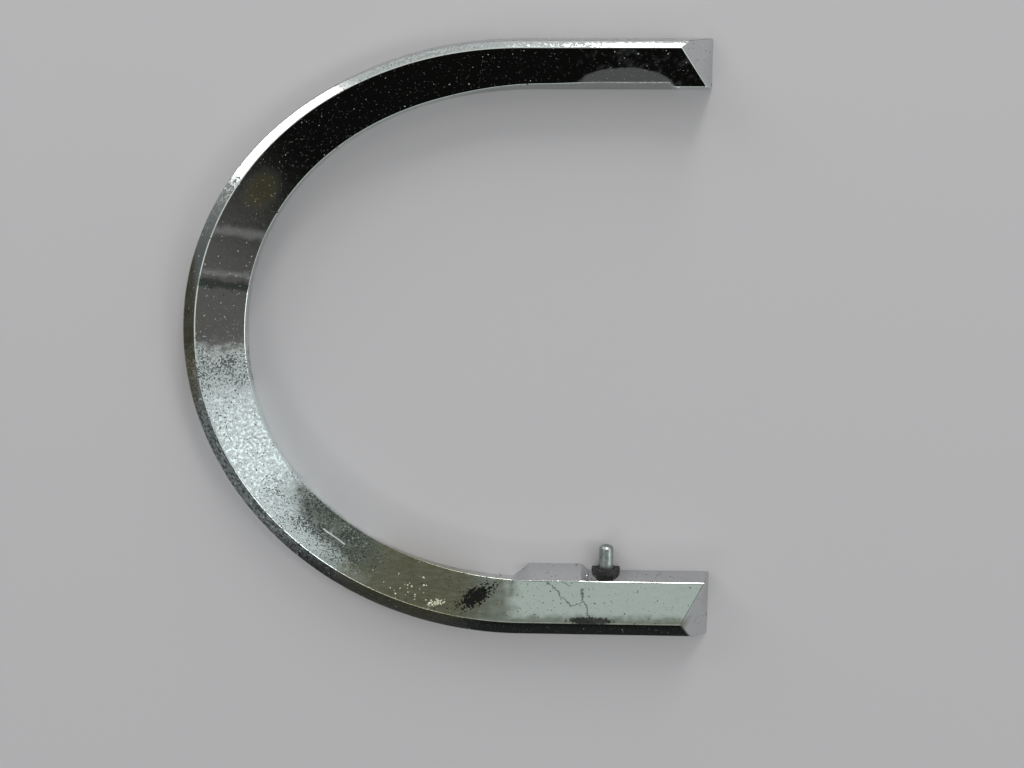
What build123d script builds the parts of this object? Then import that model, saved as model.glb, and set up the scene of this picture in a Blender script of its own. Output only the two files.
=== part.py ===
"""C-shaped chromed letter: a cast bar lying face up, with a steel pin bedded in its lower arm.

+X points out of the open side of the C, +Y to the upper arm, +Z out of the polished face.
The origin is on the back, at the centre of the overall width and height.
"""

import os
from math import cos, pi, sin

from build123d import *

os.makedirs("parts", exist_ok=True)

# ---- Overall sizes (mm) ----
overall_width = 158.6  # along X, from the curved nose to the end of the lower arm
overall_height = 177.8  # along Y, over both arms
thickness = 7.5  # along Z, back to face
upper_arm_short = 3.4  # how much shorter the upper arm is than the lower one

# ---- The stroke: polished face, sloped outer side, inner wall ----
face_top = 10.9  # width of the flat face on the upper arm
face_nose = 15.0  # on the curved nose
face_bottom = 13.4  # on the lower arm
slope_top = 3.0  # how far the outer side runs out from face to back, on the upper arm
slope_nose = 5.0
slope_bottom = 5.1
draft_top = 0.4  # how far the inner wall of the upper arm leans in at the back
draft_bottom = 1.4  # the same on the lower arm
undercut_nose = 0.7  # how far the inner wall leans the other way, under the face, at the nose
undercut_bottom = 1.2  # the same where the bend runs into the lower arm
nose_level = 1.8  # height in Y of the middle of the nose

# ---- The bend: quarter curves that are nearly ellipses ----
# Fullness 2 is an ellipse. More than 2 is squarer, and swells the outline at the shoulder.
bend_back = 21.0  # X where the bend meets the straight arms, on the outer outline of the back
bend_face = 22.0  # the same on the outer outline of the face
bend_inner = 26.8  # the same on the inner outlines
full_back = (2.02, 2.0)  # outer outline of the back, upper and lower quarter
full_face = (2.06, 2.0)
full_inner = (2.11, 2.03)
full_inner_back = (2.12, 2.12)
bend_points = 9  # worked out along each quarter, for the smooth curve through them

# ---- The arm ends: square at the back, cut slanting on the face ----
upper_end_inner = 2.2  # how far the face stops short of the back, at the inner corner
upper_end_outer = 9.6  # and at the outer corner
lower_end_inner = 1.9
lower_end_outer = 8.7

# ---- Ground flat on the inner edge of the upper arm ----
flat_depth = 1.2  # how far it cuts into the face
flat_start = 64.4  # X of its abrupt end, nearest the opening
flat_length = 26.0  # at full depth
flat_runout = 14.0  # where it fades into the edge

# ---- Foot on the inner wall of the lower arm ----
foot_reach = 3.3  # how far its toe stands in from the face edge, at the back
foot_toe = 16.0  # length of the toe
foot_heel = 26.0  # length where it leaves the wall
foot_centre = 32.5  # X of its middle

# ---- Steel pin, laid in a slot in the back of the lower arm ----
pin_diameter = 4.2
pin_reach = 8.3  # length that shows past the inner wall, at the back
pin_seat = 9.0  # length inside the slot
pin_centre = 47.9  # X of the pin
pin_clear = 0.15  # between the pin and the back plane
pin_chamfer = 0.6
slot_play = 0.35  # room for solder round the pin

# ---- Solder round the pin ----
bead_width = 8.6  # of the bead at the root of the pin, across the wall
bead_cover = 0.35  # how far the bead rises over the pin
bead_depth = 1.2  # how far the bead stands off the wall
bead_round = 0.5

# ---- Places worked out from the sizes ----
back_left = -overall_width / 2
back_top = overall_height / 2
back_bottom = -overall_height / 2
lower_end = overall_width / 2
upper_end = lower_end - upper_arm_short
face_left = back_left + slope_nose
outer_top = back_top - slope_top
outer_bottom = back_bottom + slope_bottom
inner_left = face_left + face_nose
inner_top = outer_top - face_top
inner_bottom = outer_bottom + face_bottom
wall_top = inner_top - draft_top
wall_bottom = inner_bottom + draft_bottom
pin_height = pin_diameter / 2 + pin_clear
inside_metal = 1.0  # how far added and cut shapes reach past the surface they start from


def bend(left, top, bottom, straight_from, fullness):
    """Smooth curve round the nose, from the upper arm to the lower one."""
    reach = straight_from - left
    points = []
    for step in range(2 * bend_points + 1):
        turn = pi / 2 * step / bend_points
        upper = step <= bend_points
        power = 2 / (fullness[0] if upper else fullness[1])
        rise = top - nose_level if upper else nose_level - bottom
        across = reach * sin(turn) ** power if step < 2 * bend_points else 0
        up = rise * abs(cos(turn)) ** power if step != bend_points else 0
        points.append((straight_from - across, nose_level + (up if upper else -up)))
    Spline(*points)


def stroke(outer, inner, upper_cut, lower_cut):
    """Closed outline of the C, from its two bends. A cut is X at the outer and inner corner of an end."""
    _, out_top, out_bottom, out_bend, _ = outer
    _, in_top, in_bottom, in_bend, _ = inner
    bend(*outer)
    Line((out_bend, out_bottom), (lower_cut[0], out_bottom))
    Line((lower_cut[0], out_bottom), (lower_cut[1], in_bottom))
    Line((lower_cut[1], in_bottom), (in_bend, in_bottom))
    bend(*inner)
    Line((in_bend, in_top), (upper_cut[1], in_top))
    Line((upper_cut[1], in_top), (upper_cut[0], out_top))
    Line((upper_cut[0], out_top), (out_bend, out_top))


def leaning_plane(y_back, y_face):
    """Plane along X that passes y_back at the back and y_face at the face. Its normal points to +Y."""
    return Plane(origin=(0, y_back, 0), x_dir=(1, 0, 0), z_dir=(0, thickness, y_back - y_face))


# ---- Wedge of metal that the ground flat takes off the upper arm ----
with BuildPart() as flat_waste:
    with BuildSketch(Plane.XY):
        with BuildLine():
            Polyline(
                (flat_start, inner_top - inside_metal),
                (flat_start, inner_top + flat_depth),
                (flat_start - flat_length, inner_top + flat_depth),
                (flat_start - flat_length - flat_runout, inner_top - inside_metal),
                close=True,
            )
        make_face()
    extrude(amount=thickness)
    split(bisect_by=leaning_plane(wall_top, inner_top + flat_depth), keep=Keep.BOTTOM)

# ---- Foot: leans out from the face edge to its toe at the back ----
wedge_root = inner_bottom - undercut_bottom - inside_metal
with BuildPart() as foot:
    with BuildSketch(Plane.XY):
        with BuildLine():
            Polyline(
                (foot_centre - foot_heel / 2, wedge_root),
                (foot_centre - foot_heel / 2, inner_bottom),
                (foot_centre - foot_toe / 2, inner_bottom + foot_reach),
                (foot_centre + foot_toe / 2, inner_bottom + foot_reach),
                (foot_centre + foot_heel / 2, inner_bottom),
                (foot_centre + foot_heel / 2, wedge_root),
                close=True,
            )
        make_face()
    extrude(amount=thickness)
    split(bisect_by=leaning_plane(inner_bottom + foot_reach, inner_bottom), keep=Keep.BOTTOM)

# ---- Lean: the wall of the lower arm from the foot to the end, wider at the back ----
end_lean = Plane(origin=(lower_end, 0, 0), x_dir=(0, 1, 0), z_dir=(thickness, 0, lower_end_inner))
with BuildPart() as lean:
    with BuildSketch(Plane.XY):
        with Locations((foot_centre, inner_bottom - undercut_bottom)):
            Rectangle(
                lower_end - foot_centre,
                undercut_bottom + draft_bottom,
                align=(Align.MIN, Align.MIN),
            )
    extrude(amount=thickness)
    split(bisect_by=leaning_plane(wall_bottom, inner_bottom), keep=Keep.BOTTOM)
    split(bisect_by=end_lean, keep=Keep.BOTTOM)

# ---- Steel pin ----
pin_start = Plane(
    origin=(pin_centre, wall_bottom - pin_seat, pin_height),
    x_dir=(1, 0, 0),
    z_dir=(0, 1, 0),
)
with BuildPart() as pin:
    with BuildSketch(pin_start):
        Circle(pin_diameter / 2)
    extrude(amount=pin_seat + pin_reach)
    chamfer(pin.faces().sort_by(Axis.Y)[-1].edges(), pin_chamfer)
pin.part.label = "pin"

# ---- Slot in the back of the lower arm: round over the pin, open to the back ----
with BuildPart() as slot:
    with BuildSketch(pin_start):
        Circle(pin_diameter / 2 + slot_play)
        with Locations((0, pin_height / 2)):
            Rectangle(pin_diameter + 2 * slot_play, pin_height)
    extrude(amount=pin_seat + draft_bottom)
    split(bisect_by=Plane.XY, keep=Keep.TOP)

# ---- Cast bow: outlines of back and face joined by ruled sides ----
with BuildPart() as bow:
    with BuildSketch(Plane.XY):
        with BuildLine():
            stroke(
                (back_left, back_top, back_bottom, bend_back, full_back),
                (
                    inner_left - undercut_nose,
                    wall_top,
                    inner_bottom - undercut_bottom,
                    bend_inner,
                    full_inner_back,
                ),
                (upper_end, upper_end),
                (lower_end, lower_end),
            )
        make_face()
    with BuildSketch(Plane.XY.offset(thickness)):
        with BuildLine():
            stroke(
                (face_left, outer_top, outer_bottom, bend_face, full_face),
                (inner_left, inner_top, inner_bottom, bend_inner, full_inner),
                (upper_end - upper_end_outer, upper_end - upper_end_inner),
                (lower_end - lower_end_outer, lower_end - lower_end_inner),
            )
        make_face()
    loft(ruled=True)
    add(foot.part)
    add(lean.part)
    add(flat_waste.part, mode=Mode.SUBTRACT)
    add(slot.part, mode=Mode.SUBTRACT)
bow.part.label = "bow"

# ---- Solder: fills the slot round the pin, and stands as a low bead at its root ----
bead_face = Plane(origin=(pin_centre, wall_bottom + bead_depth, 0), x_dir=(1, 0, 0), z_dir=(0, 1, 0))
bead_height = pin_height + pin_diameter / 2 + bead_cover
with BuildPart() as solder:
    with BuildSketch(bead_face):
        Ellipse(bead_width / 2, bead_height)
        Rectangle(bead_width, bead_height, align=(Align.CENTER, Align.MIN), mode=Mode.SUBTRACT)
    extrude(amount=-(bead_depth + draft_bottom))
    fillet(solder.edges().filter_by(GeomType.ELLIPSE).sort_by(Axis.Y)[-1], bead_round)
    add(slot.part)
    add(pin.part, mode=Mode.SUBTRACT)
    add(bow.part, mode=Mode.SUBTRACT)
solder.part.label = "solder"

for piece in (bow, pin, solder):
    export_step(piece.part, f"parts/{piece.part.label}.step")
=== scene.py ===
# %% [markdown]
# # A worn chrome letter C
# This lesson dresses a CAD model: one cast bar bent into a C, a steel pin and the solder
# that holds it. We load the CAD frame first, because every size and place is taken from it.

# %% Load the frame
from math import pi

import bpy
from mathutils import Matrix, Vector


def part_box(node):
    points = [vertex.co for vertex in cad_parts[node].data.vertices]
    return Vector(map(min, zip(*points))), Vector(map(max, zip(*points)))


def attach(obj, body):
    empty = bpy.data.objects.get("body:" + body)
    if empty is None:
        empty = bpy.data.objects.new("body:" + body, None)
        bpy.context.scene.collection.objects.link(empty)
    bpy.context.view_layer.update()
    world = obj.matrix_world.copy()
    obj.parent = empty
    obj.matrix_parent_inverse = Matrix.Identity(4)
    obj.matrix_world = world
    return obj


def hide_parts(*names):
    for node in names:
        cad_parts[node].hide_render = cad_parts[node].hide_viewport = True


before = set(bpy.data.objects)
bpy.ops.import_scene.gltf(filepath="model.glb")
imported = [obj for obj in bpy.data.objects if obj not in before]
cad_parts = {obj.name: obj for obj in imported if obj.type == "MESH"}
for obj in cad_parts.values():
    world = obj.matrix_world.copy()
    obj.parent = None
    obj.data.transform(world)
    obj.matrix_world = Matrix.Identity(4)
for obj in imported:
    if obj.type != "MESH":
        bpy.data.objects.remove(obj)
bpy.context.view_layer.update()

MM = 0.001
bow_low, bow_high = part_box("bow")
print("bow spans", [round((b - a) / MM, 1) for a, b in zip(bow_low, bow_high)], "mm")

# %% [markdown]
# ## Writing nodes as sums
# A node tree is easier to read as a formula. A Wire holds one socket, and the usual signs make
# Math nodes from it. Any other node comes from one method, `make`.


# %% Nodes as expressions
class Wire:
    """A node's output that can be added, multiplied and compared like a number."""

    def __init__(self, tree, socket):
        self.tree = tree
        self.socket = socket

    def math(self, operation, *others):
        return make(self.tree, "ShaderNodeMath", {"operation": operation}, [self, *others])

    def flipped(self, operation, other):
        return make(self.tree, "ShaderNodeMath", {"operation": operation}, [other, self])

    def __add__(self, other):
        return self.math("ADD", other)

    def __sub__(self, other):
        return self.math("SUBTRACT", other)

    def __mul__(self, other):
        return self.math("MULTIPLY", other)

    def __truediv__(self, other):
        return self.math("DIVIDE", other)

    def __pow__(self, other):
        return self.math("POWER", other)

    def __lt__(self, other):
        return self.math("LESS_THAN", other)

    def __gt__(self, other):
        return self.math("GREATER_THAN", other)

    __radd__ = __add__
    __rmul__ = __mul__

    def __rsub__(self, other):
        return self.flipped("SUBTRACT", other)

    def __rtruediv__(self, other):
        return self.flipped("DIVIDE", other)

    def size(self):
        return self.math("ABSOLUTE")

    def clamp(self):
        return self.math("MINIMUM", 1.0).math("MAXIMUM", 0.0)

    def step(self, start, stop):
        """0 up to start, 1 from stop, and a smooth rise between."""
        settings = {"interpolation_type": "SMOOTHSTEP"}
        return make(self.tree, "ShaderNodeMapRange", settings, {0: self, 1: start, 2: stop})

    def within(self, rise, fall):
        """A smooth rise between the two values of rise, and a smooth fall between those of fall."""
        return self.step(*rise) * (1 - self.step(*fall))

    def near(self, centre, inner, outer):
        """1 within inner of the centre, and 0 past outer."""
        return 1 - (self - centre).size().step(inner, outer)


def make(tree, kind, settings=None, values=(), out=0):
    """Add a node, set it up, then fill its sockets from a list or from {socket: value or Wire}."""
    node = tree.nodes.new(kind)
    for name, value in (settings or {}).items():
        setattr(node, name, value)
    pairs = values.items() if isinstance(values, dict) else enumerate(values)
    for name, value in pairs:
        if isinstance(value, Wire):
            tree.links.new(value.socket, node.inputs[name])
        else:
            node.inputs[name].default_value = value
    return Wire(tree, node.outputs[out]) if len(node.outputs) else node


print("a Wire answers to + - * / ** < >")

# %% [markdown]
# ## The bow: a shape that follows a rule
# The real bar was cast, then plated. Its section changes slowly along the stroke: the face is
# widest on the nose and narrowest on the upper arm. A curve with a fixed bevel can't do that.
# So five rails run along the bar, two on the back, two on the face and one along the middle of
# the outer slope, where it turns steep. Geometry Nodes lay the skin between them.

# %% Sizes of the bar, in mm
left, bottom = bow_low[0] / MM, bow_low[1] / MM
right, top = bow_high[0] / MM, bow_high[1] / MM
deep = (bow_high[2] - bow_low[2]) / MM
slope = {"nose": 5.0, "top": 3.0, "bottom": 5.1}  # the outer side, from face to back
face = {"nose": 15.0, "top": 10.9, "bottom": 13.4}  # width of the polished face
lean = {"nose": -0.7, "top": 0.4, "bottom": -1.2}  # the inner wall at the back, beside the face
upper_arm_short = 3.4
end_cut = {"upper outer": 9.6, "upper inner": 2.2, "lower outer": 8.7, "lower inner": 1.9}
nose_level = 1.8  # height in Y of the middle of the nose
swell = {"nose": 0.80, "top": 0.64, "bottom": 0.92}  # share of the slope where it turns steep
turn_level = {"top": 0.78, "bottom": 0.62}  # height of that turn, as a share of the thickness
bend_at = {"back": 21.0, "slope": 21.5, "face": 22.0, "inner": 26.8}  # X where the arms turn straight
# Fullness of the upper and lower quarter of each rail: 2 is an ellipse, more is squarer.
full = {
    "back outer": (2.02, 2.0),
    "slope": (2.04, 2.0),
    "face outer": (2.06, 2.0),
    "face inner": (2.11, 2.03),
    "back inner": (2.12, 2.12),
}
print("face", face["nose"], "mm wide on the nose and", face["top"], "mm on the upper arm")

# %% [markdown]
# ## Five rails
# A rail needs ten numbers: X of its nose, Y on both arms, X where the arms turn straight, the
# fullness of both quarters, X of both ends and the height of both arms. They all come from the
# sizes above, so one change there moves every rail that depends on it.

# %% Rails
face_left, face_top, face_bottom = left + slope["nose"], top - slope["top"], bottom + slope["bottom"]
inner_left = face_left + face["nose"]
inner_top = face_top - face["top"]
inner_bottom = face_bottom + face["bottom"]
upper_end = right - upper_arm_short
RAIL_INPUTS = ("Nose", "Top", "Bottom", "Straight", "Upper full", "Lower full")
RAIL_INPUTS += ("Upper end", "Lower end", "Upper level", "Lower level")
RAILS = {
    "back outer": (
        *(left, top, bottom),
        *(bend_at["back"], *full["back outer"]),
        *(upper_end, right),
        *(0.0, 0.0),
    ),
    "middle of slope": (
        face_left - slope["nose"] * swell["nose"],
        face_top + slope["top"] * swell["top"],
        face_bottom - slope["bottom"] * swell["bottom"],
        *(bend_at["slope"], *full["slope"]),
        upper_end - end_cut["upper outer"] * turn_level["top"],
        right - end_cut["lower outer"] * turn_level["bottom"],
        *(deep * turn_level["top"], deep * turn_level["bottom"]),
    ),
    "face outer": (
        *(face_left, face_top, face_bottom),
        *(bend_at["face"], *full["face outer"]),
        *(upper_end - end_cut["upper outer"], right - end_cut["lower outer"]),
        *(deep, deep),
    ),
    "face inner": (
        *(inner_left, inner_top, inner_bottom),
        *(bend_at["inner"], *full["face inner"]),
        *(upper_end - end_cut["upper inner"], right - end_cut["lower inner"]),
        *(deep, deep),
    ),
    "back inner": (
        *(inner_left + lean["nose"], inner_top - lean["top"], inner_bottom + lean["bottom"]),
        *(bend_at["inner"], *full["back inner"]),
        *(upper_end, right),
        *(0.0, 0.0),
    ),
}
print(len(RAILS), "rails of", len(RAIL_INPUTS), "numbers")

# %% [markdown]
# ## One rail as a formula
# A rail is a straight run, two quarter curves and another straight run. Along the quarters we use
# a superellipse: sine and cosine to a power a little under one, which swells the shoulder as the
# pattern maker's curve does. One node group holds the formula, and each rail is one use of it.

# %% Rail node group
FLOAT = "NodeSocketFloat"
GEOMETRY = "NodeSocketGeometry"
ARM_SHARE = 0.34  # of the stations on each straight arm, the rest go round the bend


def new_tree(name, inputs, output):
    tree = bpy.data.node_groups.new(name, "GeometryNodeTree")
    for label, kind, value in inputs:
        socket = tree.interface.new_socket(label, in_out="INPUT", socket_type=kind)
        if value is not None:
            socket.default_value = value
    tree.interface.new_socket(output[0], in_out="OUTPUT", socket_type=output[1])
    entry = tree.nodes.new("NodeGroupInput")
    return tree, {label: Wire(tree, entry.outputs[label]) for label, _, _ in inputs}


def finish_tree(tree, wire):
    make(tree, "NodeGroupOutput", None, [wire])
    return tree


def rail_group():
    inputs = [("Along", FLOAT, 0.0)] + [(label, FLOAT, 0.0) for label in RAIL_INPUTS]
    tree, size = new_tree("rail", inputs, ("Position", "NodeSocketVector"))
    along = size["Along"]
    first = (along / ARM_SHARE).clamp()
    turn = ((along - ARM_SHARE) / (1 - 2 * ARM_SHARE)).clamp() * pi
    last = ((along - (1 - ARM_SHARE)) / ARM_SHARE).clamp()
    lower = turn > pi / 2
    power = 2 / (size["Upper full"] + (size["Lower full"] - size["Upper full"]) * lower)
    across = (size["Straight"] - size["Nose"]) * turn.math("SINE").size() ** power
    rise = turn.math("COSINE").size() ** power
    up = (size["Top"] - nose_level) * (1 - lower) + (size["Bottom"] - nose_level) * lower
    x = (
        size["Upper end"]
        + (size["Straight"] - size["Upper end"]) * first
        - across
        + (size["Lower end"] - size["Straight"]) * last
    )
    y = nose_level + up * rise
    fall = along.step(ARM_SHARE, 1 - ARM_SHARE)
    z = size["Upper level"] + (size["Lower level"] - size["Upper level"]) * fall
    place = make(tree, "ShaderNodeCombineXYZ", None, [x * MM, y * MM, z * MM])
    return finish_tree(tree, place)


rail = rail_group()
print("rail group has", len(rail.nodes), "nodes")

# %% [markdown]
# ## What breaks the rule
# The inner edge of the upper arm was ground flat, with an abrupt end near the opening. On the
# lower arm a foot flares from the wall to the back, and past it the wall leans out. These are
# shifts of one rail each, by how far along X the point lies.

# %% Shifts of the inner rails
SLOW_FADE, SLOW_DEPTH = (-2.0, 30.0), 0.75  # from X to X, and how deep it gets, in mm
FAST_FADE, FAST_DEPTH = (28.0, 44.0), 0.45
GRINDING_ENDS = (62.9, 64.7)
FOOT_CENTRE, FOOT_HALF, FOOT_RUN = 32.5, 8.0, 5.0
FOOT_REACH = 3.3 - lean["bottom"]  # from the plain line of the back edge, in mm
WALL_REACH = 1.4 - lean["bottom"]
WALL_STARTS = (32.4, 32.6)


def ramp(x, centre, half, run):
    """1 within half of the centre, falling to 0 over run on both sides."""
    return ((half + run - (x - centre).size()) / run).clamp()


def ground_flat(x):
    """How far the grinding moved the inner edge of the face, in mm."""
    fade = x.step(*SLOW_FADE) * SLOW_DEPTH + x.step(*FAST_FADE) * FAST_DEPTH
    return fade * (1 - x.step(*GRINDING_ENDS))


def foot_and_lean(x):
    """How far the back edge of the lower wall stands in from its plain line, in mm."""
    foot = ramp(x, FOOT_CENTRE, FOOT_HALF, FOOT_RUN) * FOOT_REACH
    return foot.math("MAXIMUM", x.step(*WALL_STARTS) * WALL_REACH)


print("the foot is", 2 * FOOT_HALF, "mm wide at its full reach")

# %% [markdown]
# ## Laying the skin
# A tube of five sides already has the right faces and closed ends, so we keep its faces and move
# its points. The points come ring by ring: the number of a point gives its station and its rail.

# %% Bow tree
STATIONS = 900


def rail_place(tree, name, along):
    """The point of one rail, with the shifts that break its rule."""
    links = {"Along": along, **dict(zip(RAIL_INPUTS, RAILS[name]))}
    place = make(tree, "GeometryNodeGroup", {"node_tree": rail}, links)
    if "inner" not in name:
        return place
    x = make(tree, "ShaderNodeSeparateXYZ", None, [place]) / MM
    if name == "face inner":
        shift = ground_flat(x) * (along < 0.5)
    else:
        shift = foot_and_lean(x) * (along > 0.5)
    move = make(tree, "ShaderNodeCombineXYZ", None, {"Y": shift * MM})
    return make(tree, "ShaderNodeVectorMath", {"operation": "ADD"}, [place, move])


def pick_vector(tree, index, places):
    pick = tree.nodes.new("GeometryNodeIndexSwitch")
    pick.data_type = "VECTOR"
    while len(pick.index_switch_items) < len(places):
        pick.index_switch_items.new()
    tree.links.new(index.socket, pick.inputs["Index"])
    for number, place in enumerate(places):
        tree.links.new(place.socket, pick.inputs[str(number)])
    return Wire(tree, pick.outputs[0])


def set_material(tree, skin, material):
    skin = make(tree, "GeometryNodeRealizeInstances", None, [skin])
    return make(tree, "GeometryNodeSetMaterial", None, {"Geometry": skin, "Material": material})


def bow_tree(material):
    inputs = [("Stations", "NodeSocketInt", STATIONS)]
    tree, size = new_tree("bow", inputs, ("Geometry", GEOMETRY))
    count = len(RAILS)
    sides = {"Vertices": count, "Side Segments": size["Stations"]}
    tube = make(tree, "GeometryNodeMeshCylinder", {"fill_type": "NGON"}, sides)
    index = make(tree, "GeometryNodeInputIndex")
    station = (index / count).math("FLOOR")
    corner = index - station * count
    along = station / size["Stations"]
    chosen = pick_vector(tree, corner, [rail_place(tree, name, along) for name in RAILS])
    skin = make(tree, "GeometryNodeSetPosition", None, {"Geometry": tube, "Position": chosen})
    return finish_tree(tree, set_material(tree, skin, material))


print("the skin has", (STATIONS + 1) * len(RAILS), "points")

# %% [markdown]
# ## The slot for the pin
# The pin lies in a slot milled in the back of the lower arm. It is cut after the edges are
# rounded, because a bevel would run wild on its tiny edges. A drill and a block make the cut.

# %% Slot tree
DRILL_SIDES = 40


def moved(tree, shape, spot, turn=(0.0, 0.0, 0.0)):
    values = {"Geometry": shape, "Translation": spot, "Rotation": turn}
    return make(tree, "GeometryNodeTransform", None, values)


def slot_tree(material):
    labels = ("Slot centre", "Slot radius", "Slot height", "Slot start", "Slot end")
    inputs = [("Geometry", GEOMETRY, None)] + [(label, FLOAT, 0.0) for label in labels]
    tree, size = new_tree("slot", inputs, ("Geometry", GEOMETRY))
    centre, radius, height, start, end = (size[label] for label in labels)
    long = end - start
    middle = (end + start) / 2
    values = {"Vertices": DRILL_SIDES, "Radius": radius, "Depth": long}
    drill = make(tree, "GeometryNodeMeshCylinder", None, values)
    spot = make(tree, "ShaderNodeCombineXYZ", None, [centre, middle, height])
    drill = moved(tree, drill, spot, (pi / 2, 0.0, 0.0))
    block_size = make(tree, "ShaderNodeCombineXYZ", None, [radius * 2, long, height * 2])
    block = make(tree, "GeometryNodeMeshCube", None, {"Size": block_size})
    spot = make(tree, "ShaderNodeCombineXYZ", None, [centre, middle, 0.0])
    block = moved(tree, block, spot)
    skin = size["Geometry"]
    settings = {"operation": "DIFFERENCE", "solver": "EXACT"}
    for cutter in (drill, block):
        values = {"Mesh 1": skin, "Mesh 2": cutter}
        skin = make(tree, "GeometryNodeMeshBoolean", settings, values)
    return finish_tree(tree, set_material(tree, skin, material))


print("the drill has", DRILL_SIDES, "sides")

# %% [markdown]
# ## From tree to piece
# A node modifier stays live until its result is copied. We evaluate the object once, keep the
# plain mesh, and drop the modifiers. A small bevel comes first: plating never leaves a knife
# edge, and the thin bright line along each edge is its reflection.

# %% Bake a tree to a plain mesh
EDGE_RADIUS = 0.3 * MM
EDGE_STEPS = 3
SHARP_FROM = 0.35  # radians between two faces


def add_nodes(piece, tree, values):
    nodes = piece.modifiers.new(tree.name, "NODES")
    nodes.node_group = tree
    for item in tree.interface.items_tree:
        if item.in_out == "INPUT" and item.name in values:
            nodes[item.identifier] = values[item.name]


def round_edges(piece):
    bevel = piece.modifiers.new("edges", "BEVEL")
    bevel.width = EDGE_RADIUS
    bevel.segments = EDGE_STEPS
    bevel.limit_method = "ANGLE"
    bevel.angle_limit = SHARP_FROM
    bevel.use_clamp_overlap = False


def new_piece(name, mesh=None):
    piece = bpy.data.objects.new(name, mesh or bpy.data.meshes.new(name))
    bpy.context.scene.collection.objects.link(piece)
    return piece


def keep_result(piece):
    evaluated = piece.evaluated_get(bpy.context.evaluated_depsgraph_get())
    solid = bpy.data.meshes.new_from_object(evaluated)
    piece.modifiers.clear()
    piece.data = solid
    solid.name = piece.name
    print(piece.name, "has", len(solid.polygons), "faces")


print("edges are rounded to", EDGE_RADIUS / MM, "mm")

# %% [markdown]
# ## Helpers for masks
# A finish is a stack of masks, and most masks here are an ellipse with a noisy rim, or a noise
# above a level. Everything is in millimetres of object space, so a pit has its real size.

# %% Mask helpers


def place_in_mm(tree):
    spot = make(tree, "ShaderNodeTexCoord", out="Object")
    return make(tree, "ShaderNodeVectorMath", {"operation": "SCALE"}, {0: spot, "Scale": 1 / MM})


def stretched(vector, factors):
    return make(vector.tree, "ShaderNodeVectorMath", {"operation": "MULTIPLY"}, [vector, factors])


def split(vector):
    node = make(vector.tree, "ShaderNodeSeparateXYZ", None, [vector]).socket.node
    return [Wire(vector.tree, output) for output in node.outputs]


def noise(vector, per_mm, detail=2.0, roughness=0.5):
    values = {"Vector": vector, "Scale": per_mm, "Detail": detail, "Roughness": roughness}
    return make(vector.tree, "ShaderNodeTexNoise", None, values)


def patch(x, y, centre, reach, turn=0.0):
    """1 at the centre of an ellipse, 0 at its rim. Turn is in radians, anticlockwise."""
    long, short = Vector((1.0, 0.0)), Vector((0.0, 1.0))
    long.rotate(Matrix.Rotation(turn, 2))
    short.rotate(Matrix.Rotation(turn, 2))
    dx, dy = x - centre[0], y - centre[1]
    along = (dx * long[0] + dy * long[1]) / reach[0]
    across = (dx * short[0] + dy * short[1]) / reach[1]
    return (1 - (along * along + across * across).math("SQRT")).clamp()


def crack(x, y, wander, start, end, half):
    """1 on a wandering line from start to end, 0 beside it."""
    run = Vector(end) - Vector(start)
    way = run.normalized()
    along = ((x - start[0]) * way[0] + (y - start[1]) * way[1]) / run.length
    across = ((y - start[1]) * way[0] - (x - start[0]) * way[1] + wander).size()
    inside = along.within((-0.03, 0.03), (0.97, 1.03))
    return (1 - across.step(half * 0.4, half)) * inside


def total(masks, weights):
    """The sum of the named masks, each times its weight."""
    result = 0
    for name, weight in weights.items():
        result = masks[name] * weight + result
    return result


print("masks are drawn in mm, so 1 unit is", MM, "m")

# %% [markdown]
# ## Colours and shader
# Colours are mixed by Mix nodes, because a Math node would turn them grey. One dielectric and
# metal shader is enough for every finish here.

# %% Material helpers


def mix(factor, first, second):
    values = {0: factor, 6: first, 7: second}
    return make(factor.tree, "ShaderNodeMix", {"data_type": "RGBA"}, values, out=2)


def bumped(height, strength, distance):
    values = {"Strength": strength, "Distance": distance, "Height": height}
    return make(height.tree, "ShaderNodeBump", None, values)


def new_material(name):
    material = bpy.data.materials.new(name)
    material.use_nodes = True
    material.node_tree.nodes.clear()
    return material, material.node_tree


def surface(tree, values):
    shader = make(tree, "ShaderNodeBsdfPrincipled", None, values)
    make(tree, "ShaderNodeOutputMaterial", None, [shader])


print("materials so far:", len(bpy.data.materials))

# %% [markdown]
# ## Worn chrome: where the marks lie
# Chrome plate is a mirror, so most of its look is what it reflects. What the metal adds is wear:
# dark pits through the plate, pale specks of salt, a brown-green film where it lay wet, a few
# cracks. The large marks have places of their own, so they are listed by name and kept apart
# from the formulas that draw them.

# %% Places of the marks
# Each mark is an ellipse: its centre and its two reaches in mm, and its turn in radians.
MARKS = {
    "etched": ((-57.0, -30.0), (50.0, 30.0), 2.2),
    "upper rim": ((-66.0, -4.0), (18.0, 12.0), 0.0),
    "lower rim": ((-36.0, -54.0), (26.0, 15.0), -0.7),
    "specks": ((-65.0, 16.0), (16.0, 26.0), 0.0),
    "olive": ((-12.0, -73.0), (32.0, 17.0), -0.2),
    "wet": ((-33.0, -54.5), (24.0, 9.0), -0.80),
    "flaked": ((8.4, -75.7), (9.2, 4.1), 0.59),
    "smear": ((43.0, -82.9), (11.0, 1.9), 0.0),
    # the rubbed lens is duller plate whose grey-violet colour is a painted reflection
    "rubbed_and_reflection": ((50.6, 74.6), (14.5, 6.0), 0.0),
    "brown": ((-53.0, 46.0), (8.5, 6.0), 0.9),
    "crust": ((-3.3, -77.8), (3.2, 1.4), 0.2),
    "grains": ((-10.0, -74.5), (15.0, 8.0), -0.3),
}
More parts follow.
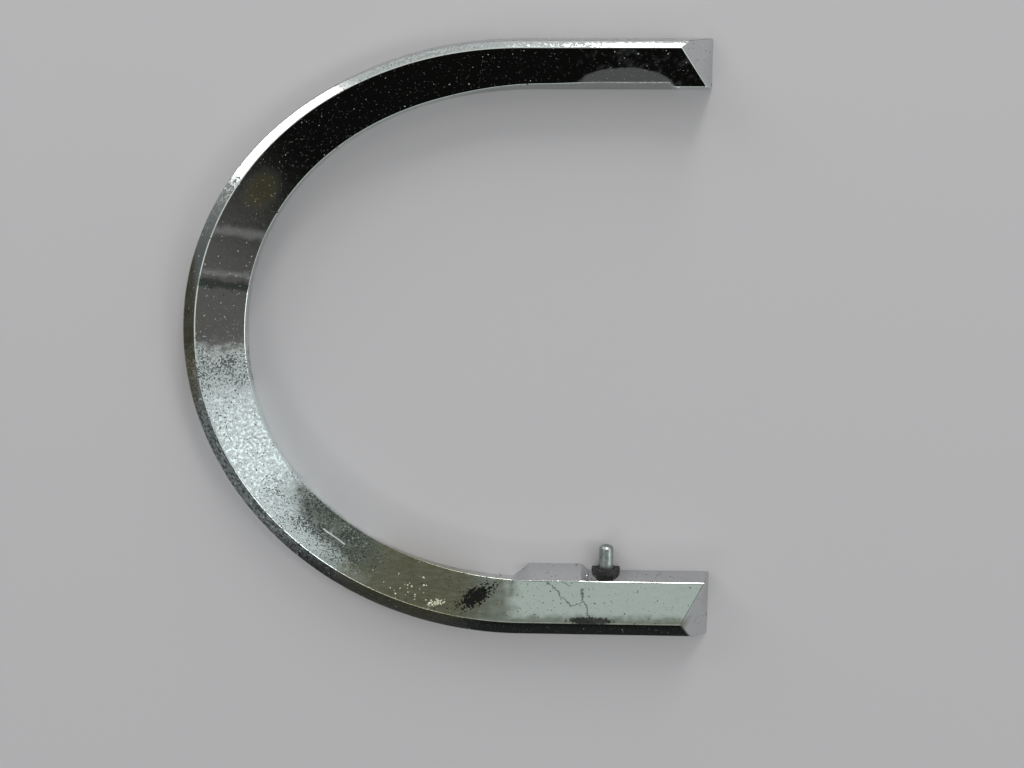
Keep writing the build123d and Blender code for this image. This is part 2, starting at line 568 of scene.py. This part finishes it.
# Each crack runs from a point to a point, and its last number is half its width, all in mm.
CRACKS = [
    ((29.8, -70.5), (37.4, -78.2), 0.26),
    ((37.2, -78.2), (41.0, -76.6), 0.24),
    ((41.0, -76.6), (43.6, -82.2), 0.30),
    ((40.6, -72.6), (41.2, -76.4), 0.55),
    ((15.8, -70.5), (14.7, -73.0), 0.26),
    ((14.7, -73.0), (11.3, -74.6), 0.24),
    ((33.4, -70.4), (37.0, -72.2), 0.20),
]
# The scratch is raised a little, and its bright colour is a painted glint.
SCRATCH = ((-37.5, -55.0), (-31.0, -59.8), 0.30)
print(len(MARKS), "marks and", len(CRACKS), "cracks")

# %% [markdown]
# ## Shared noises
# Four noises serve every mark: grit and fine for the grain of the pits, drift and cloud to break
# up the rims of the large marks. Sharing them makes marks that overlap look like one damage.

# %% Noises and the mark lookup
FACE_RISE = (deep - 0.2, deep - 0.02)  # heights in mm between which the face begins


def first_masks(tree):
    spot = place_in_mm(tree)
    x, y, z = split(spot)
    return {
        "spot": spot,
        "x": x,
        "y": y,
        "z": z,
        "grit": noise(spot, 2.4, 1.0, 0.5),
        "fine": noise(spot, 1.3, 3.0, 0.6),
        "cloud": noise(spot, 0.16, 3.0, 0.55),
        "drift": noise(spot, 0.35, 2.0, 0.5),
        "mottle": noise(stretched(spot, (0.35, 1.3, 1.0)), 0.9, 4.0, 0.7),
        "on face": z.step(*FACE_RISE),
    }


def mark(masks, name):
    return patch(masks["x"], masks["y"], *MARKS[name])


print("the face begins at", round(FACE_RISE[0], 2), "mm")

# %% [markdown]
# ## Pits, salt and dapples
# The lower left of the bend is etched all over. Its pits crowd at the two rims of the etched
# area, which is why a plain noise isn't enough: the level that a pit must pass falls there.

# %% Pitting
PIT_EDGE = (0.0, 0.03)  # how soft the rim of a pit or speck is


def pitting(masks):
    spot, y, drift = masks["spot"], masks["y"], masks["drift"]
    below = 1 - (y + (drift - 0.5) * 12).step(-6.0, 4.0)
    etched = mark(masks, "etched").step(0.0, 0.5) * below
    rim = ((mark(masks, "upper rim") + mark(masks, "lower rim")) * 1.4).clamp() * below
    crowd = (etched * 0.55 + rim).clamp()
    level = 0.650 - crowd * 0.066 - (masks["cloud"] - 0.5) * 0.36 * crowd - rim * 0.085
    specks = mark(masks, "specks")
    rare = noise(spot, 1.1, 1.0, 0.5) - 0.752
    broad = noise(spot, 1.1, 3.0, 0.65) - 0.40
    return {
        "etched": etched,
        "rim": rim,
        "crowd": crowd,
        "specks": specks,
        "pits": (masks["grit"] * 0.6 + masks["fine"] * 0.4 - level).step(*PIT_EDGE),
        "salt": (rare + crowd * 0.065 + specks * 0.05).step(*PIT_EDGE),
        "dapple": broad.step(0.0, 0.14) * (etched + rim * 0.5).clamp(),
    }


print("pits and specks have a rim of", PIT_EDGE[1], "in noise")

# %% [markdown]
# ## Films
# A thin film of grease and corrosion products dulls the bottom of the bend, brown-olive in its
# middle. The end of the lower arm stayed clean, so the film is everything that isn't clean.

# %% Films and stains
FILM_FADES = (-60.0, -52.0)  # from Y to Y, in mm


def films(masks):
    x, y, drift = masks["x"], masks["y"], masks["drift"]
    wet = mark(masks, "wet")
    clean = (x + (drift - 0.5) * 9).step(16.0, 23.0) * (y + (drift - 0.5) * 4).step(-83.2, -80.0)
    film = (1 - clean) * x.step(-34.0, -18.0) * (1 - y.step(*FILM_FADES))
    film = film + (wet * 1.6 + (drift - 0.5)).step(0.2, 0.9)
    nose_film = (1 - x.step(-75.0, -72.5)) * y.within((-34.0, -8.0), (30.0, 46.0))
    return {
        "olive": (mark(masks, "olive") * 1.7 + (drift - 0.5) * 0.7).step(0.1, 0.8),
        "film": film.clamp() * masks["z"].step(deep - 1.5, deep - 0.2),
        "wet": wet.step(0.05, 0.5) * masks["on face"],
        "brown": mark(masks, "brown").step(0.0, 0.6) * masks["on face"],
        "nose film": nose_film * (1 - masks["on face"]),
    }


print("the film fades out at Y", FILM_FADES[1], "mm")

# %% [markdown]
# ## Flaked spot, smear, cracks and a scratch with a painted glint
# Here the plate itself is broken. A crack is the set of points close to a line, and a wandering
# noise bends the line. The scratch is a line too, straighter, raised, and painted bright as a glint.

# %% Scars


def scars(masks):
    x, y, rough_rim = masks["x"], masks["y"], masks["fine"] - 0.5
    wander = (noise(masks["spot"], 0.45, 3.0, 0.6) - 0.5) * 3.2
    cracks = 0
    for start, end, half in CRACKS:
        cracks = crack(x, y, wander, start, end, half) + cracks
    return {
        "flaked": (mark(masks, "flaked") + rough_rim * 2.3).step(0.34, 0.44),
        "smear": (mark(masks, "smear") + rough_rim * 0.9).step(0.25, 0.5),
        "cracks": cracks.clamp(),
        # the scratch: a raised line whose bright colour is a painted glint
        "scratch_glint": crack(x, y, wander * 0.2, *SCRATCH),
    }


print("the scratch is", round((Vector(SCRATCH[1]) - Vector(SCRATCH[0])).length, 1), "mm long")

# %% [markdown]
# ## Rubbed area, painted reflection and shadow bands, and the worn sides
# The upper arm has a lens of rubbed plate beside the ground flat, its grey-violet a painted
# reflection. Painted reflection bands and a dark green painted shadow band cross the nose.
# The sides are duller than the face: the ground wall is matt, and the slope is streaked.

# %% Bands and sides


def bands(masks):
    x, y, drift = masks["x"], masks["y"], masks["drift"]
    off_face = 1 - masks["on face"]
    # rubbed lens: duller plate, coloured with the painted reflection tint
    rubbed_and_reflection = (mark(masks, "rubbed_and_reflection") + (drift - 0.5) * 0.16).step(0.0, 0.10)
    tilted = y + x * 0.12 + (drift - 0.5) * 3 + 7.6
    # painted reflection: two grey-violet bands across the face of the nose
    hazy_reflection = tilted.near(34.0, 0.3, 2.2) + tilted.near(21.5, 0.1, 1.5)
    # painted shadow: a dark green band across the face of the nose
    green = tilted.near(18.2, 0.6, 1.8) * (1 - x.step(-56.0, -52.0))
    ground = x.within((-4.0, 12.0), (64.2, 64.6)) * y.within((60.0, 66.0), (78.0, 80.0)) * off_face
    streaks = (noise(masks["spot"], 0.9, 4.0, 0.75) - 0.42).step(0.0, 0.2) * off_face
    streaks = streaks * y.step(20.0, 34.0) * (1 - ground) * (1 - x.step(64.0, 67.0))
    return {
        "rubbed_and_reflection": rubbed_and_reflection * masks["on face"] * x.step(36.0, 40.0),
        "hazy_reflection": hazy_reflection * x.within((-73.0, -70.0), (-54.0, -50.0)) * masks["on face"],
        "shadow band": green * masks["on face"],
        "ground": ground,
        "streaks": streaks,
    }


print("bands and sides are drawn up to X", right, "mm")

# %% [markdown]
# ## Colour of the plate
# The colours are laid like coats of paint, from the clean plate up: each coat is a mask and a
# tint. The order matters, because pits show through the film but not through the black scars.

# %% Tints and coats
TINTS = {
    "drawn plate": (0.70, 0.77, 0.71, 1.0),
    "clear plate": (0.80, 0.90, 0.83, 1.0),
    "side plate": (0.64, 0.65, 0.65, 1.0),
    "etched plate": (0.80, 0.88, 0.88, 1.0),
    "film": (0.25, 0.26, 0.20, 1.0),
    "olive": (0.17, 0.155, 0.085, 1.0),
    "wet": (0.13, 0.15, 0.125, 1.0),
    "pits": (0.035, 0.045, 0.042, 1.0),
    "salt": (0.46, 0.50, 0.46, 1.0),
    "dapple": (0.86, 0.93, 0.93, 1.0),
    "scars": (0.012, 0.013, 0.011, 1.0),
    # the next tint paints a reflection: grey-violet bands on the nose and the rubbed lens
    "hazy_reflection": (0.42, 0.38, 0.41, 1.0),
    # the next tint paints a shadow band on the nose
    "shadow band": (0.12, 0.20, 0.16, 1.0),
    "brown": (0.42, 0.37, 0.16, 1.0),
    "nose film": (0.24, 0.21, 0.12, 1.0),
    "ground": (0.26, 0.27, 0.26, 1.0),
    "streaks": (0.20, 0.23, 0.21, 1.0),
    # the next tint is a painted glint along the scratch
    "scratch_glint": (0.9, 0.93, 0.95, 1.0),
}


def coats(m):
    """How much of each tint lies over the plate, from the lowest coat to the highest."""
    salt_shows = 0.22 + m["crowd"] * 0.5 + m["olive"] * 0.6 + m["specks"] * 0.4
    return {
        "film": m["film"] * (0.45 + m["mottle"] * 0.7),
        "olive": m["olive"] * (0.30 + m["mottle"] * 0.9),
        "wet": m["wet"] * (0.30 + m["fine"] * 0.6),
        "pits": m["pits"] * 0.9,
        "salt": (m["salt"] * salt_shows).clamp(),
        "dapple": m["dapple"] * (1 - m["pits"]) * (1 - m["film"] * 0.85) * 0.6,
        "scars": (m["flaked"] + m["cracks"] * 0.7 + m["smear"] * 0.9).clamp(),
        # painted reflection bands on the nose, and the rubbed lens painted the same grey-violet
        "hazy_reflection": (m["hazy_reflection"] * 0.5 + m["rubbed_and_reflection"] * 0.55).clamp(),
        # painted shadow band on the nose
        "shadow band": (m["shadow band"] * 0.7).clamp(),
        "brown": m["brown"] * 0.75,
        "nose film": m["nose film"] * (0.4 + m["drift"] * 0.8),
        "ground": m["ground"] * (0.35 + m["fine"] * 0.5),
        "streaks": m["streaks"] * 0.55,
        # painted glint of the scratch
        "scratch_glint": m["scratch_glint"],
    }


def plate_colour(m):
    colour = mix(m["mottle"], TINTS["drawn plate"], TINTS["clear plate"])
    colour = mix(m["on face"], TINTS["side plate"], colour)
    colour = mix(m["etched"], colour, TINTS["etched plate"])
    for name, share in coats(m).items():
        colour = mix(share, colour, TINTS[name])
    return colour


print(len(TINTS), "tints")

# %% [markdown]
# ## Gloss and relief
# Clean chrome is all metal and nearly smooth. Each mark takes away some of the metal and adds
# some roughness, so both are sums of masks. The relief is a bump of a few hundredths of a mm.

# %% Chrome material
MIRROR = 0.04  # roughness of the clean plate
DULLS = {"pits": 0.35, "salt": 0.35, "flaked": 0.1, "cracks": 0.2, "smear": 0.2, "hazy_reflection": 0.16}
DULLS |= {"rubbed_and_reflection": 0.13, "dapple": 0.10, "olive": 0.12, "brown": 0.06}
ROUGHENS = {"ground": 0.15, "streaks": 0.22, "etched": 0.13, "rim": 0.06, "pits": 0.4, "salt": 0.3}
ROUGHENS |= {"flaked": 0.45, "olive": 0.14, "film": 0.05, "cracks": 0.3, "rubbed_and_reflection": 0.10}
ROUGHENS |= {"hazy_reflection": 0.08, "dapple": 0.08}
RAISES = {"fine": 0.3, "drift": 0.6, "pits": -0.5, "salt": 0.5, "cracks": -1.0, "flaked": -0.4}
RAISES |= {"scratch_glint": 1.5}
RELIEF = 0.00015  # height in metres of one unit of relief


def worn_chrome():
    material, tree = new_material("worn_chrome")
    masks = first_masks(tree)
    for more in (pitting, films, scars, bands):
        masks.update(more(masks))
    values = {
        "Base Color": plate_colour(masks),
        "Metallic": 1 - total(masks, DULLS).clamp(),
        "Roughness": (total(masks, ROUGHENS) + MIRROR).clamp(),
        "Normal": bumped(total(masks, RAISES), 0.10, RELIEF),
    }
    surface(tree, values)
    return material


chrome = worn_chrome()
print("chrome has", len(chrome.node_tree.nodes), "nodes")

# %% [markdown]
# ## The cast bow
# Now the bar itself: skin, rounded edges, then the slot, and weighted normals so that the flat
# faces stay flat to the eye. The slot's place and width come from the pin's own box.

# %% Make the bow
SLOT_PLAY = 0.35 * MM  # on each side of the pin
SLOT_LONG = 10.4 * MM
bow = new_piece("bow_cast")
add_nodes(bow, bow_tree(chrome), {"Stations": STATIONS})
round_edges(bow)
pin_low, pin_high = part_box("pin")
slot_sizes = {
    "Slot centre": (pin_low[0] + pin_high[0]) / 2,
    "Slot radius": (pin_high[0] - pin_low[0]) / 2 + SLOT_PLAY,
    "Slot height": (pin_low[2] + pin_high[2]) / 2,
    "Slot start": pin_low[1],
    "Slot end": pin_low[1] + SLOT_LONG,
}
add_nodes(bow, slot_tree(chrome), slot_sizes)
even = bow.modifiers.new("even", "WEIGHTED_NORMAL")
even.keep_sharp = False
keep_result(bow)
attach(bow, "root")
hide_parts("bow")

# %% [markdown]
# ## Grains of salt
# Where the bar lay wet, the plating failed and salts grew through it in hard pale grains. They
# are real lumps that catch light, so they are geometry. Points are scattered evenly on the face,
# then most are dropped by chance: a crust stays in one spot, and a few grains around it. Each
# point that stays gets one small rough ball.

# %% Grain material and tree
ANY_TURN = (6.28, 6.28, 6.28)
STRAY_SHARE = 0.015  # of the points kept around the crust
SEED = 7


def mineral():
    material, tree = new_material("pale_mineral")
    tone = noise(place_in_mm(tree), 2.0, 2.0).step(0.35, 0.65)
    colour = mix(tone, (0.46, 0.45, 0.26, 1.0), (0.78, 0.78, 0.66, 1.0))
    surface(tree, {"Base Color": colour, "Roughness": 0.45 + tone * 0.2})
    return material


def random_value(tree, kind, values, out=0):
    return make(tree, "FunctionNodeRandomValue", {"data_type": kind}, values, out)


def scattered(tree, size):
    """Points on the upward faces, thinned so that they crowd in the crust."""
    x, y, z = split(make(tree, "GeometryNodeInputPosition"))
    x, y = x / MM, y / MM
    facing = split(make(tree, "GeometryNodeInputNormal"))[2] > 0.99
    values = {"Mesh": size["Geometry"], "Selection": facing, "Seed": size["Seed"]}
    values["Density"] = size["Most per square metre"]
    points = make(tree, "GeometryNodeDistributePointsOnFaces", None, values)
    share = patch(x, y, *MARKS["crust"]) + patch(x, y, *MARKS["grains"]) * STRAY_SHARE
    bare = random_value(tree, "FLOAT", {"Seed": size["Seed"] + 1}, out=1) > share
    values = {"Geometry": points, "Selection": bare}
    return make(tree, "GeometryNodeDeleteGeometry", {"domain": "POINT"}, values)


def rough_ball(tree):
    ball = make(tree, "GeometryNodeMeshIcoSphere", None, {"Radius": 1.0, "Subdivisions": 2})
    lump = make(tree, "ShaderNodeTexNoise", None, {"Scale": 1.6, "Detail": 1.0}, out=1)
    lump = make(tree, "ShaderNodeVectorMath", {"operation": "SUBTRACT"}, [lump, (0.5, 0.5, 0.5)])
    return make(tree, "GeometryNodeSetPosition", None, {"Geometry": ball, "Offset": lump})


def grain_tree(material):
    inputs = [
        ("Geometry", GEOMETRY, None),
        ("Most per square metre", FLOAT, 1.2e7),
        ("Smallest", FLOAT, 0.00010),
        ("Largest", FLOAT, 0.00030),
        ("Seed", "NodeSocketInt", SEED),
    ]
    tree, size = new_tree("grains", inputs, ("Geometry", GEOMETRY))
    points = scattered(tree, size)
    ball = rough_ball(tree)
    limits = {2: size["Smallest"], 3: size["Largest"], "Seed": size["Seed"]}
    wide = random_value(tree, "FLOAT", limits, out=1)
    limits = {0: (0.0, 0.0, 0.0), 1: ANY_TURN, "Seed": size["Seed"]}
    turn = random_value(tree, "FLOAT_VECTOR", limits)
    values = {"Points": points, "Instance": ball, "Rotation": turn, "Scale": wide}
    grains = make(tree, "GeometryNodeInstanceOnPoints", None, values)
    return finish_tree(tree, set_material(tree, grains, material))


grains = new_piece("salt_grains", bow.data.copy())
add_nodes(grains, grain_tree(mineral()), {"Seed": SEED})
keep_result(grains)
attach(grains, "root")

# %% [markdown]
# ## Steel and solder
# The pin and the bead keep their CAD shapes, which are right as they are, and only get better
# materials. The steel is drawn along the pin, so its grain is a noise stretched that way, and
# painted shade darkens it towards the bead. The bead is black with a little grey.

# %% Steel and solder materials
# PIN_ROOT also bounds the painted shade at the pin's root
PIN_ROOT = (-67.2, -65.0)  # from Y to Y in mm, where the pin comes out of the bead


def dull_steel():
    material, tree = new_material("dull_steel")
    spot = place_in_mm(tree)
    grain = noise(stretched(spot, (3.0, 0.4, 3.0)), 1.2, 4.0, 0.6)
    stain = noise(spot, 0.9, 3.0)
    # painted shade: the pin turns dark and dull towards the bead
    root = 1 - (split(spot)[1] + stain * 1.5).step(*PIN_ROOT)
    colour = mix(stain.step(0.4, 0.7) * 0.6, (0.34, 0.38, 0.36, 1.0), (0.16, 0.18, 0.17, 1.0))
    values = {
        "Base Color": mix(root, colour, (0.03, 0.03, 0.028, 1.0)),
        "Metallic": 1 - root * 0.6,
        "Roughness": (0.28 + grain * 0.25 + root * 0.3).clamp(),
        "Normal": bumped(grain, 0.2, 0.0001),
    }
    surface(tree, values)
    return material


def black_solder():
    material, tree = new_material("black_solder")
    # grey flecks in the black of the bead
    crust = noise(place_in_mm(tree), 1.8, 4.0, 0.65)
    values = {
        "Base Color": mix(
            crust.step(0.45, 0.7), (0.012, 0.012, 0.011, 1.0), (0.06, 0.06, 0.055, 1.0)
        ),
        "Metallic": 0.3,
        "Roughness": 0.45 + crust * 0.3,
        "Normal": bumped(crust, 0.4, 0.0002),
    }
    surface(tree, values)
    return material


for node_name, material in (("pin", dull_steel()), ("solder", black_solder())):
    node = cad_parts[node_name]
    if not node.data.materials:
        node.data.materials.append(material)
    for number in range(len(node.material_slots)):
        node.material_slots[number].material = material
    print(node_name, "wears", material.name)

# %% [markdown]
# ## The bench
# The bar lies on a bench, and a mirror needs something to show. The floor is one plain pale
# sheet. The room is a gradient by direction: dark straight above, with paler walls.

# %% Floor
FLOOR_REACH = 8.0
FLOOR_GAP = 0.00002  # below the back, so that the two don't share a plane


def pale_floor():
    mesh = bpy.data.meshes.new("floor")
    signs = ((-1, -1), (1, -1), (1, 1), (-1, 1))
    mesh.from_pydata([(a * FLOOR_REACH, b * FLOOR_REACH, 0) for a, b in signs], [], [(0, 1, 2, 3)])
    floor = new_piece("floor", mesh)
    floor.location.z = -FLOOR_GAP
    material, tree = new_material("pale_floor")
    surface(tree, {"Base Color": (0.52, 0.51, 0.52, 1.0), "Roughness": 0.85})
    mesh.materials.append(material)


pale_floor()
print("the floor reaches", FLOOR_REACH, "m each way")

# %% [markdown]
# ## The room
# The polished face looks almost straight up, so a small part of the ceiling fills it. There the
# room has a dark spot ahead, a paler side behind it and one lit patch. The walls and what lies
# between them and the ceiling light the sloped sides.

# %% Room
SPOT_CENTRE, SPOT_REACH = (0.03, 0.06), (0.30, 0.20)  # the dark spot, as directions
LIT_PATCH = ((-0.226, -0.226), (0.115, 0.075), 0.9)
BETWEEN = 0.70  # brightness between walls and ceiling
FAR_CEILING = 0.75


def ceiling_level(x, y, ahead):
    across = (x - SPOT_CENTRE[0]) / SPOT_REACH[0]
    along = (y - SPOT_CENTRE[1]) / SPOT_REACH[1]
    away = (across * across + along * along).math("SQRT")
    dark = 0.004 + away.step(0.82, 1.30) * 0.10
    lit = patch(x, y, *LIT_PATCH).step(0.0, 0.6) * 1.8
    side = 0.20 + x.step(-0.12, -0.03) * 0.26
    near = dark * ahead + (side + lit) * (1 - ahead)
    beyond = away.step(1.45, 2.0) * ahead + (-1 * y).step(0.40, 0.52) * (1 - ahead)
    return near * (1 - beyond) + FAR_CEILING * beyond


def wall_level(x, y):
    return 0.14 + y.step(0.1, 0.9) * 0.55 + x.step(0.2, 0.9) * 0.45 - (-1 * y).step(0.1, 0.5) * 0.12


def room():
    world = bpy.data.worlds.new("room")
    bpy.context.scene.world = world
    world.use_nodes = True
    tree = world.node_tree
    tree.nodes.clear()
    x, y, z = split(make(tree, "ShaderNodeTexCoord", out="Generated"))
    ahead = y.step(-0.215, -0.145)
    high = z.step(0.72, 0.86)
    middle = z.step(0.35, 0.60)
    level = wall_level(x, y) * (1 - middle) + BETWEEN * middle
    level = level * (1 - high) + ceiling_level(x, y, ahead) * high
    warm = ahead * high
    tint = [0.94 + warm * 0.12, 1 - warm * 0.06, 0.99 - warm * 0.02]
    shade = make(tree, "ShaderNodeCombineXYZ", None, [level * part for part in tint])
    light = make(tree, "ShaderNodeBackground", None, {"Color": shade, "Strength": 1.0})
    make(tree, "ShaderNodeOutputWorld", None, [light])


room()
print("the room has", len(bpy.context.scene.world.node_tree.nodes), "nodes")

# %% [markdown]
# ## Lamps
# Four soft lamps: two windows low at the side and the far end, which draw the bright lines on
# the slopes, a thin strip in front, and a weak fill for the shadows. All aim at the bar.

# %% Lamps
# Each lamp: its place and its two sides in metres, and its power in watts.
LAMPS = {
    "left_window": ((-0.95, 0.85, 0.36), (0.62, 0.46), 5.0),
    "far_window": ((0.26, 1.25, 0.36), (0.36, 0.56), 9.0),
    "front_strip": ((-0.62, -1.0, 0.75), (0.9, 0.14), 2.0),
    "side_fill": ((1.3, -0.3, 0.9), (0.5, 0.5), 4.0),
}


def soft_lamp(name, place, sides, power):
    data = bpy.data.lights.new(name, "AREA")
    data.shape = "RECTANGLE"
    data.size, data.size_y = sides
    data.energy = power
    lamp = bpy.data.objects.new(name, data)
    lamp.location = place
    aim = -Vector(place)
    lamp.rotation_euler = aim.to_track_quat("-Z", "Y").to_euler()
    bpy.context.scene.collection.objects.link(lamp)


for name, (place, sides, power) in LAMPS.items():
    soft_lamp(name, place, sides, power)
print(len(LAMPS), "lamps")

# %% [markdown]
# ## Camera
# The camera stands 0.39 m above the bench and looks almost straight down, a little towards the
# lower arm. Its turn is given by the directions of ahead and up, which leaves no doubt about roll.

# %% Camera
STAND = (0.03311, 0.06127, 0.39052)
AHEAD = Vector((-0.03558747, -0.18310492, -0.98244904))
UP = Vector((-0.01006834, 0.98308755, -0.18285921))
LENS_MM = 46.70
SENSOR_MM = 36.0


def camera():
    data = bpy.data.cameras.new("camera")
    data.lens = LENS_MM
    data.sensor_width = SENSOR_MM
    data.clip_start = 0.01
    view = bpy.data.objects.new("camera", data)
    turn = Matrix((AHEAD.cross(UP), UP, -AHEAD)).transposed().to_4x4()
    view.matrix_world = Matrix.Translation(STAND) @ turn
    bpy.context.scene.collection.objects.link(view)
    bpy.context.scene.camera = view


camera()
bpy.context.scene.view_settings.view_transform = "Standard"
print("camera at", STAND, "m with a", LENS_MM, "mm lens")
